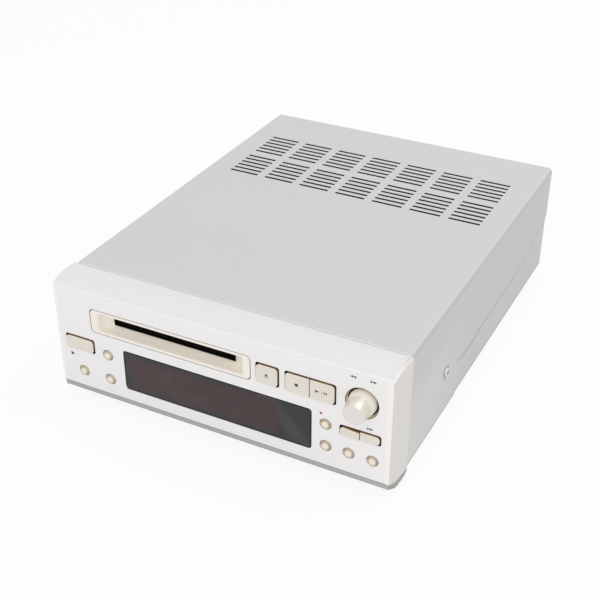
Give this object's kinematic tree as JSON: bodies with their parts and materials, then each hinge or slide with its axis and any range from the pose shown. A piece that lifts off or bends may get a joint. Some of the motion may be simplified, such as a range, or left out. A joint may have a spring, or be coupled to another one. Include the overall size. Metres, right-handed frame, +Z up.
{
  "type": "minidisc deck",
  "caption": "Slot-loading minidisc deck in a slim cabinet: curved fascia with keys, display and jog knob, vented steel cover, and a working loading mechanism.",
  "frame": {"origin": "on the floor, under the middle of the whole object's box", "axes": "+X to the right seen from the front, +Y from the fascia to the back, +Z up"},
  "size_m": [0.2074, 0.286, 0.0788],
  "materials": {
    "silver_panel": "satin silver-white lacquer on moulded plastic",
    "champagne_trim": "satin champagne lacquer",
    "key_champagne": "satin champagne lacquer on keys",
    "knob_metal": "turned satin champagne metal finish",
    "cover_paint": "fine-textured pale grey paint on steel",
    "zinc_steel": "zinc-plated sheet steel",
    "rear_steel": "pale grey coated sheet steel",
    "black_plastic": "matte black moulding",
    "smoked_window": "smoked acrylic, polished",
    "tube_glass": "clear glass tube with a dark front",
    "lamp_lens": "clear red light guide",
    "board_resin": "green coated circuit board",
    "switch_plastic": "black switch body",
    "foot_rubber": "black rubber",
    "screw_steel": "bright plated steel",
    "plated_brass": "nickel-plated brass",
    "gear_plastic": "natural white gear plastic",
    "motor_steel": "plated motor can",
    "sled_metal": "die-cast pickup body",
    "rail_steel": "polished steel rod",
    "film_orange": "orange dipped coating",
    "ribbon_white": "white flat cable",
    "core_steel": "varnished laminated steel",
    "tape_yellow": "yellow winding tape",
    "heatsink_alu": "extruded aluminium"
  },
  "bodies": {
    "cabinet": {"fascia_panel": "silver_panel", "end_cap_left": "champagne_trim", "end_cap_right": "champagne_trim", "standby_lens": "lamp_lens", "slot_bezel": "champagne_trim", "display_window": "smoked_window", "display_tube": "tube_glass", "display_holder": "black_plastic", "knob_dish": "champagne_trim", "encoder_body": "motor_steel", "front_board": "board_resin", "tact_switches": "switch_plastic", "top_cover": "cover_paint", "cover_screws": "screw_steel", "chassis_tray": "zinc_steel", "feet": "foot_rubber", "front_bracket": "zinc_steel", "rear_panel": "rear_steel", "phono_jacks": "plated_brass", "phono_block": "black_plastic", "optical_jacks": "black_plastic", "mains_inlet": "black_plastic", "mech_frame": "zinc_steel", "mech_brackets": "zinc_steel", "mech_dampers": "foot_rubber", "mech_motors": "motor_steel", "spindle_motor": "motor_steel", "sled_rails": "rail_steel", "main_board": "board_resin", "board_components": "switch_plastic", "film_capacitors": "film_orange", "heatsink": "heatsink_alu", "ribbon_cable": "ribbon_white", "transformer_core": "core_steel", "transformer_winding": "tape_yellow"},
    "flap": {"slot_flap": "black_plastic"},
    "knob_rotor": {"encoder_rotor": "black_plastic"},
    "knob": {"jog_knob": "knob_metal", "encoder_shaft": "motor_steel"},
    "holder": {"cartridge_holder": "zinc_steel"},
    "slider": {"loading_slider": "gear_plastic"},
    "wheel": {"loading_gear": "gear_plastic"},
    "motor_pinion": {"loading_pinion": "plated_brass"},
    "turntable": {"disc_turntable": "gear_plastic"},
    "sled": {"pickup_sled": "sled_metal"},
    "arm": {"head_arm": "rail_steel"},
    "screw_shaft": {"lead_screw": "rail_steel"},
    "standby_key": {"standby_button": "key_champagne"},
    "eject_key": {"eject_button": "key_champagne"},
    "stop_key": {"stop_button": "key_champagne"},
    "play_key": {"play_button": "key_champagne"},
    "search_back_key": {"search_back_button": "key_champagne"},
    "search_forward_key": {"search_forward_button": "key_champagne"},
    "input_key": {"input_button": "key_champagne"},
    "level_key": {"level_button": "key_champagne"},
    "mode_key": {"mode_button": "key_champagne"},
    "record_key": {"record_button": "key_champagne"},
    "display_key": {"display_button": "key_champagne"},
    "edit_key": {"edit_button": "key_champagne"},
    "enter_key": {"enter_button": "key_champagne"}
  },
  "joints": [
    {"name": "standby_press", "type": "slide", "parent": "cabinet", "child": "standby_key", "axis": [0, 1, 0], "range_m": [0, 0.0008], "stiffness_N_per_m": 900, "springref_m": -0.0005},
    {"name": "eject_press", "type": "slide", "parent": "cabinet", "child": "eject_key", "axis": [0, 1, 0], "range_m": [0, 0.0008], "stiffness_N_per_m": 900, "springref_m": -0.0005},
    {"name": "stop_press", "type": "slide", "parent": "cabinet", "child": "stop_key", "axis": [0, 1, 0], "range_m": [0, 0.0008], "stiffness_N_per_m": 900, "springref_m": -0.0005},
    {"name": "play_press", "type": "slide", "parent": "cabinet", "child": "play_key", "axis": [0, 1, 0], "range_m": [0, 0.0008], "stiffness_N_per_m": 900, "springref_m": -0.0005},
    {"name": "search_back_press", "type": "slide", "parent": "cabinet", "child": "search_back_key", "axis": [0, 1, 0], "range_m": [0, 0.0008], "stiffness_N_per_m": 900, "springref_m": -0.0005},
    {"name": "search_forward_press", "type": "slide", "parent": "cabinet", "child": "search_forward_key", "axis": [0, 1, 0], "range_m": [0, 0.0008], "stiffness_N_per_m": 900, "springref_m": -0.0005},
    {"name": "input_press", "type": "slide", "parent": "cabinet", "child": "input_key", "axis": [0, 1, 0], "range_m": [0, 0.0008], "stiffness_N_per_m": 900, "springref_m": -0.0005},
    {"name": "level_press", "type": "slide", "parent": "cabinet", "child": "level_key", "axis": [0, 1, 0], "range_m": [0, 0.0008], "stiffness_N_per_m": 900, "springref_m": -0.0005},
    {"name": "mode_press", "type": "slide", "parent": "cabinet", "child": "mode_key", "axis": [0, 1, 0], "range_m": [0, 0.0008], "stiffness_N_per_m": 900, "springref_m": -0.0005},
    {"name": "record_press", "type": "slide", "parent": "cabinet", "child": "record_key", "axis": [0, 1, 0], "range_m": [0, 0.0008], "stiffness_N_per_m": 900, "springref_m": -0.0005},
    {"name": "display_press", "type": "slide", "parent": "cabinet", "child": "display_key", "axis": [0, 1, 0], "range_m": [0, 0.0008], "stiffness_N_per_m": 900, "springref_m": -0.0005},
    {"name": "edit_press", "type": "slide", "parent": "cabinet", "child": "edit_key", "axis": [0, 1, 0], "range_m": [0, 0.0008], "stiffness_N_per_m": 900, "springref_m": -0.0005},
    {"name": "enter_press", "type": "slide", "parent": "cabinet", "child": "enter_key", "axis": [0, 1, 0], "range_m": [0, 0.0008], "stiffness_N_per_m": 900, "springref_m": -0.0005},
    {"name": "flap_swing", "type": "hinge", "parent": "cabinet", "child": "flap", "pos_m": [-0.02785, -0.1238, 0.0633], "axis": [1, 0, 0], "range_deg": [0, 80], "stiffness_Nm_per_rad": 0.002, "springref_deg": -17.19},
    {"name": "knob_turn", "type": "hinge", "parent": "cabinet", "child": "knob_rotor", "pos_m": [0.08585, -0.132, 0.058], "axis": [0, 1, 0], "continuous": true},
    {"name": "knob_press", "type": "slide", "parent": "knob_rotor", "child": "knob", "axis": [0, 1, 0], "range_m": [0, 0.0005], "stiffness_N_per_m": 1500, "springref_m": -0.0005},
    {"name": "loading_slide", "type": "slide", "parent": "cabinet", "child": "slider", "axis": [0, 1, 0], "range_m": [0, 0.012]},
    {"name": "holder_lower", "type": "slide", "parent": "cabinet", "child": "holder", "axis": [0, 0, -1], "range_m": [0, 0.0045]},
    {"name": "wheel_turn", "type": "hinge", "parent": "cabinet", "child": "wheel", "pos_m": [-0.06745, -0.077, 0.0474], "axis": [-1, 0, 0], "range_deg": [0, 191]},
    {"name": "pinion_turn", "type": "hinge", "parent": "cabinet", "child": "motor_pinion", "pos_m": [-0.06745, -0.06806, 0.0394], "axis": [1, 0, 0], "range_deg": [0, 573]},
    {"name": "disc_spin", "type": "hinge", "parent": "cabinet", "child": "turntable", "pos_m": [-0.02785, -0.074, 0.0472], "axis": [0, 0, 1], "continuous": true},
    {"name": "sled_slide", "type": "slide", "parent": "cabinet", "child": "sled", "axis": [1, 0, 0], "range_m": [0, 0.013]},
    {"name": "screw_turn", "type": "hinge", "parent": "cabinet", "child": "screw_shaft", "pos_m": [-0.02785, -0.0585, 0.0438], "axis": [1, 0, 0], "range_deg": [0, 2341]},
    {"name": "arm_lower", "type": "hinge", "parent": "sled", "child": "arm", "pos_m": [0.01185, -0.074, 0.068], "axis": [0, -1, 0], "range_deg": [0, 19]}
  ],
  "couplings": [
    {"joint": "holder_lower", "follows": "loading_slide", "ratio": 0.375},
    {"joint": "wheel_turn", "follows": "loading_slide", "rad_per_m": 277.78},
    {"joint": "pinion_turn", "follows": "loading_slide", "rad_per_m": 833.33},
    {"joint": "arm_lower", "follows": "loading_slide", "rad_per_m": 27.633},
    {"joint": "screw_turn", "follows": "sled_slide", "rad_per_m": 3141.6}
  ]
}
